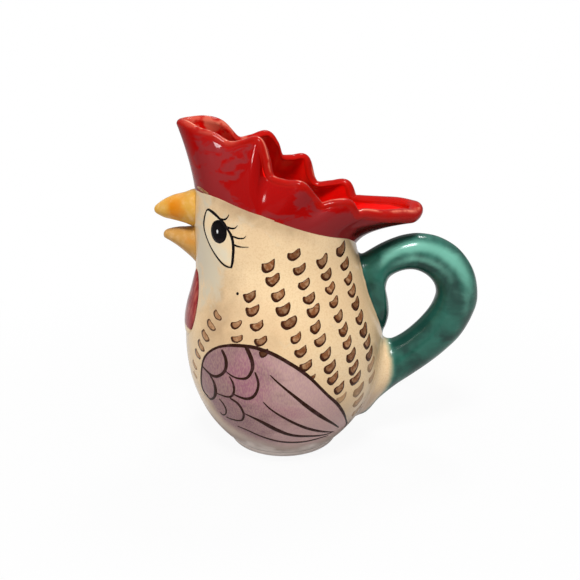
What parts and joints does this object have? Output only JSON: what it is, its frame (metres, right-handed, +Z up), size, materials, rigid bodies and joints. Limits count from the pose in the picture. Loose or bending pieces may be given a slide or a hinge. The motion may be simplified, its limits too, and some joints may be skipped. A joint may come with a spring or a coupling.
{
  "type": "rooster pitcher",
  "caption": "Glazed earthenware jug shaped as a standing rooster, with a scalloped open comb as the pouring mouth, beaks, wattles and a tail loop handle.",
  "frame": {"origin": "middle of the flat foot, on the surface that the pitcher stands on", "axes": "+Z up, the bird looks along -X, the tail handle is on +X, the side in the picture faces -Y"},
  "size_m": [0.1904, 0.1194, 0.197],
  "materials": {
    "cream_glaze": "gloss",
    "foot_glaze": "gloss",
    "red_glaze": "gloss",
    "beak_glaze": "gloss",
    "wattle_glaze": "gloss",
    "teal_glaze": "gloss"
  },
  "bodies": {
    "root": {"body": "cream_glaze", "foot": "foot_glaze", "comb": "red_glaze", "upper_beak": "beak_glaze", "lower_beak": "beak_glaze", "wattle_near": "wattle_glaze", "wattle_far": "wattle_glaze", "handle": "teal_glaze"}
  },
  "joints": []
}
